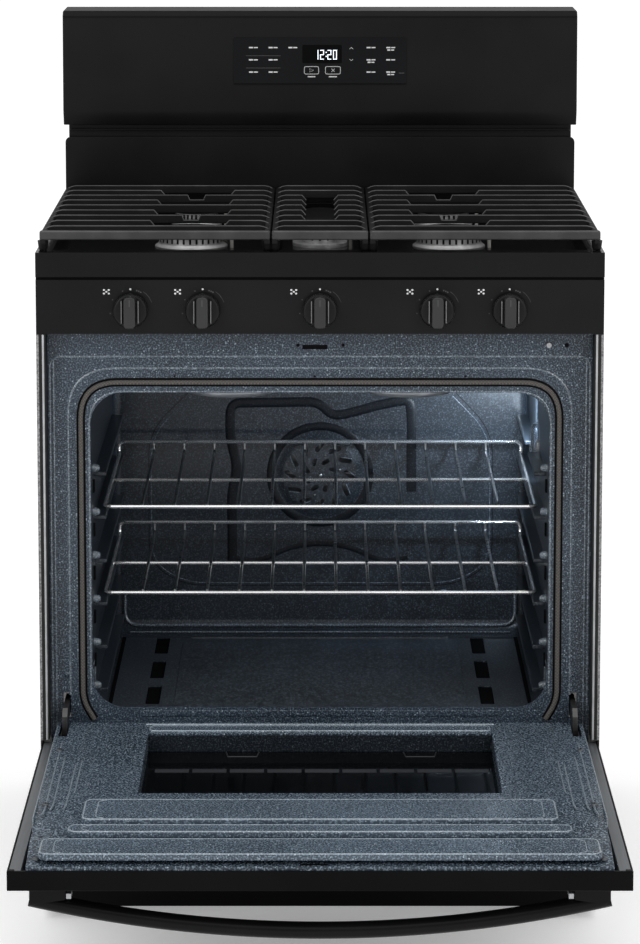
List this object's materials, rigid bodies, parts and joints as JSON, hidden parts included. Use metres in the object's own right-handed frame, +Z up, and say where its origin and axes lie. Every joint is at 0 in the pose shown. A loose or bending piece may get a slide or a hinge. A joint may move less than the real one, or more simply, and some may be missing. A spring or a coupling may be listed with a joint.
{
  "type": "freestanding gas range",
  "caption": "Black freestanding gas range with its oven door open: grated cooktop, knobs, touch-control backguard, speckled oven with sliding racks, and a storage drawer.",
  "frame": {"origin": "floor level under the middle of the overall width and overall depth, with the door open", "axes": "+X to the right seen from the front, +Y from the door to the wall, +Z up"},
  "size_m": [0.759, 1.219, 1.196],
  "materials": {
    "black_paint": "satin",
    "gloss_enamel": "gloss",
    "blue_enamel": "speckled gloss",
    "galvanised": "satin",
    "bare_steel": "satin",
    "chrome_wire": "polished",
    "cast_iron": "matte",
    "aluminium": "satin",
    "brass": "satin",
    "black_glass": "gloss",
    "clear_glass": "gloss",
    "knob_plastic": "satin",
    "rubber": "matte",
    "gasket_fibre": "woven",
    "mineral_wool": "matte",
    "ceramic_white": "gloss",
    "circuit_board": "satin",
    "white_plastic": "gloss"
  },
  "bodies": {
    "cabinet": {"side_panels": "black_paint", "rear_panel": "galvanised", "base_frame": "galvanised", "leveling_legs": "rubber", "front_frame": "blue_enamel", "oven_liner": "blue_enamel", "oven_back": "blue_enamel", "oven_floor": "blue_enamel", "bake_burner": "bare_steel", "broil_burner": "bare_steel", "door_gasket": "gasket_fibre", "oven_insulation": "mineral_wool", "fan_cover": "blue_enamel", "fan_motor": "bare_steel", "oven_lamp": "ceramic_white", "lamp_lens": "clear_glass", "hinge_arms": "bare_steel", "cooktop": "gloss_enamel", "burner_heads": "aluminium", "burner_caps": "cast_iron", "igniters": "ceramic_white", "control_panel": "black_paint", "gas_manifold": "brass", "burner_valves": "brass", "gas_inlet": "aluminium", "backguard": "black_paint", "backguard_glass": "black_glass", "control_board": "circuit_board", "backsplash": "black_paint", "drawer_glides": "galvanised", "power_inlet": "rubber", "body_screws": "bare_steel"},
    "oven_door": {"door_outer_panel": "black_glass", "door_frame": "bare_steel", "door_liner": "blue_enamel", "door_inner_glass": "black_glass", "door_insulation": "mineral_wool", "door_top_trim": "black_paint", "door_handle": "black_paint", "door_hinge_channels": "bare_steel", "door_screws": "bare_steel"},
    "storage_drawer": {"drawer_front": "black_paint", "drawer_tub": "galvanised"},
    "upper_rack": {"upper_rack": "chrome_wire"},
    "lower_rack": {"lower_rack": "chrome_wire"},
    "grate_left": {"grate_left": "cast_iron"},
    "grate_centre": {"grate_centre": "cast_iron"},
    "grate_right": {"grate_right": "cast_iron"},
    "convection_fan": {"convection_fan": "bare_steel"},
    "door_switch": {"door_switch_plunger": "white_plastic"},
    "valve_stem_1": {"valve_stem_1": "bare_steel"},
    "knob_1": {"knob_1": "knob_plastic"},
    "valve_stem_2": {"valve_stem_2": "bare_steel"},
    "knob_2": {"knob_2": "knob_plastic"},
    "valve_stem_3": {"valve_stem_3": "bare_steel"},
    "knob_3": {"knob_3": "knob_plastic"},
    "valve_stem_4": {"valve_stem_4": "bare_steel"},
    "knob_4": {"knob_4": "knob_plastic"},
    "valve_stem_5": {"valve_stem_5": "bare_steel"},
    "knob_5": {"knob_5": "knob_plastic"}
  },
  "joints": [
    {"name": "door_hinge", "type": "hinge", "parent": "cabinet", "child": "oven_door", "pos_m": [0, -0.046, 0.2365], "axis": [-1, 0, 0], "range_deg": [0, 90]},
    {"name": "drawer_slide", "type": "slide", "parent": "cabinet", "child": "storage_drawer", "axis": [0, 1, 0], "range_m": [-0.38, 0]},
    {"name": "upper_rack_slide", "type": "slide", "parent": "cabinet", "child": "upper_rack", "axis": [0, 1, 0], "range_m": [-0.3, 0]},
    {"name": "lower_rack_slide", "type": "slide", "parent": "cabinet", "child": "lower_rack", "axis": [0, 1, 0], "range_m": [-0.3, 0]},
    {"name": "grate_left_lift", "type": "slide", "parent": "cabinet", "child": "grate_left", "axis": [0, 0, 1], "range_m": [0, 0.12]},
    {"name": "grate_centre_lift", "type": "slide", "parent": "cabinet", "child": "grate_centre", "axis": [0, 0, 1], "range_m": [0, 0.12]},
    {"name": "grate_right_lift", "type": "slide", "parent": "cabinet", "child": "grate_right", "axis": [0, 0, 1], "range_m": [0, 0.12]},
    {"name": "fan_spin", "type": "hinge", "parent": "cabinet", "child": "convection_fan", "pos_m": [0, 0.5275, 0.5], "axis": [0, -1, 0], "continuous": true},
    {"name": "door_switch_press", "type": "slide", "parent": "cabinet", "child": "door_switch", "axis": [0, 1, 0], "range_m": [0, 0.004], "stiffness_N_per_m": 200},
    {"name": "knob_1_push", "type": "slide", "parent": "cabinet", "child": "valve_stem_1", "axis": [0, 1, 0], "range_m": [0, 0.003], "stiffness_N_per_m": 1500},
    {"name": "knob_1_turn", "type": "hinge", "parent": "valve_stem_1", "child": "knob_1", "pos_m": [-0.253, -0.0605, 0.8365], "axis": [0, -1, 0], "range_deg": [0, 225]},
    {"name": "knob_2_push", "type": "slide", "parent": "cabinet", "child": "valve_stem_2", "axis": [0, 1, 0], "range_m": [0, 0.003], "stiffness_N_per_m": 1500},
    {"name": "knob_2_turn", "type": "hinge", "parent": "valve_stem_2", "child": "knob_2", "pos_m": [-0.1565, -0.0605, 0.8365], "axis": [0, -1, 0], "range_deg": [0, 225]},
    {"name": "knob_3_push", "type": "slide", "parent": "cabinet", "child": "valve_stem_3", "axis": [0, 1, 0], "range_m": [0, 0.003], "stiffness_N_per_m": 1500},
    {"name": "knob_3_turn", "type": "hinge", "parent": "valve_stem_3", "child": "knob_3", "pos_m": [0, -0.0605, 0.8365], "axis": [0, -1, 0], "range_deg": [0, 225]},
    {"name": "knob_4_push", "type": "slide", "parent": "cabinet", "child": "valve_stem_4", "axis": [0, 1, 0], "range_m": [0, 0.003], "stiffness_N_per_m": 1500},
    {"name": "knob_4_turn", "type": "hinge", "parent": "valve_stem_4", "child": "knob_4", "pos_m": [0.1565, -0.0605, 0.8365], "axis": [0, -1, 0], "range_deg": [0, 225]},
    {"name": "knob_5_push", "type": "slide", "parent": "cabinet", "child": "valve_stem_5", "axis": [0, 1, 0], "range_m": [0, 0.003], "stiffness_N_per_m": 1500},
    {"name": "knob_5_turn", "type": "hinge", "parent": "valve_stem_5", "child": "knob_5", "pos_m": [0.253, -0.0605, 0.8365], "axis": [0, -1, 0], "range_deg": [0, 225]}
  ]
}
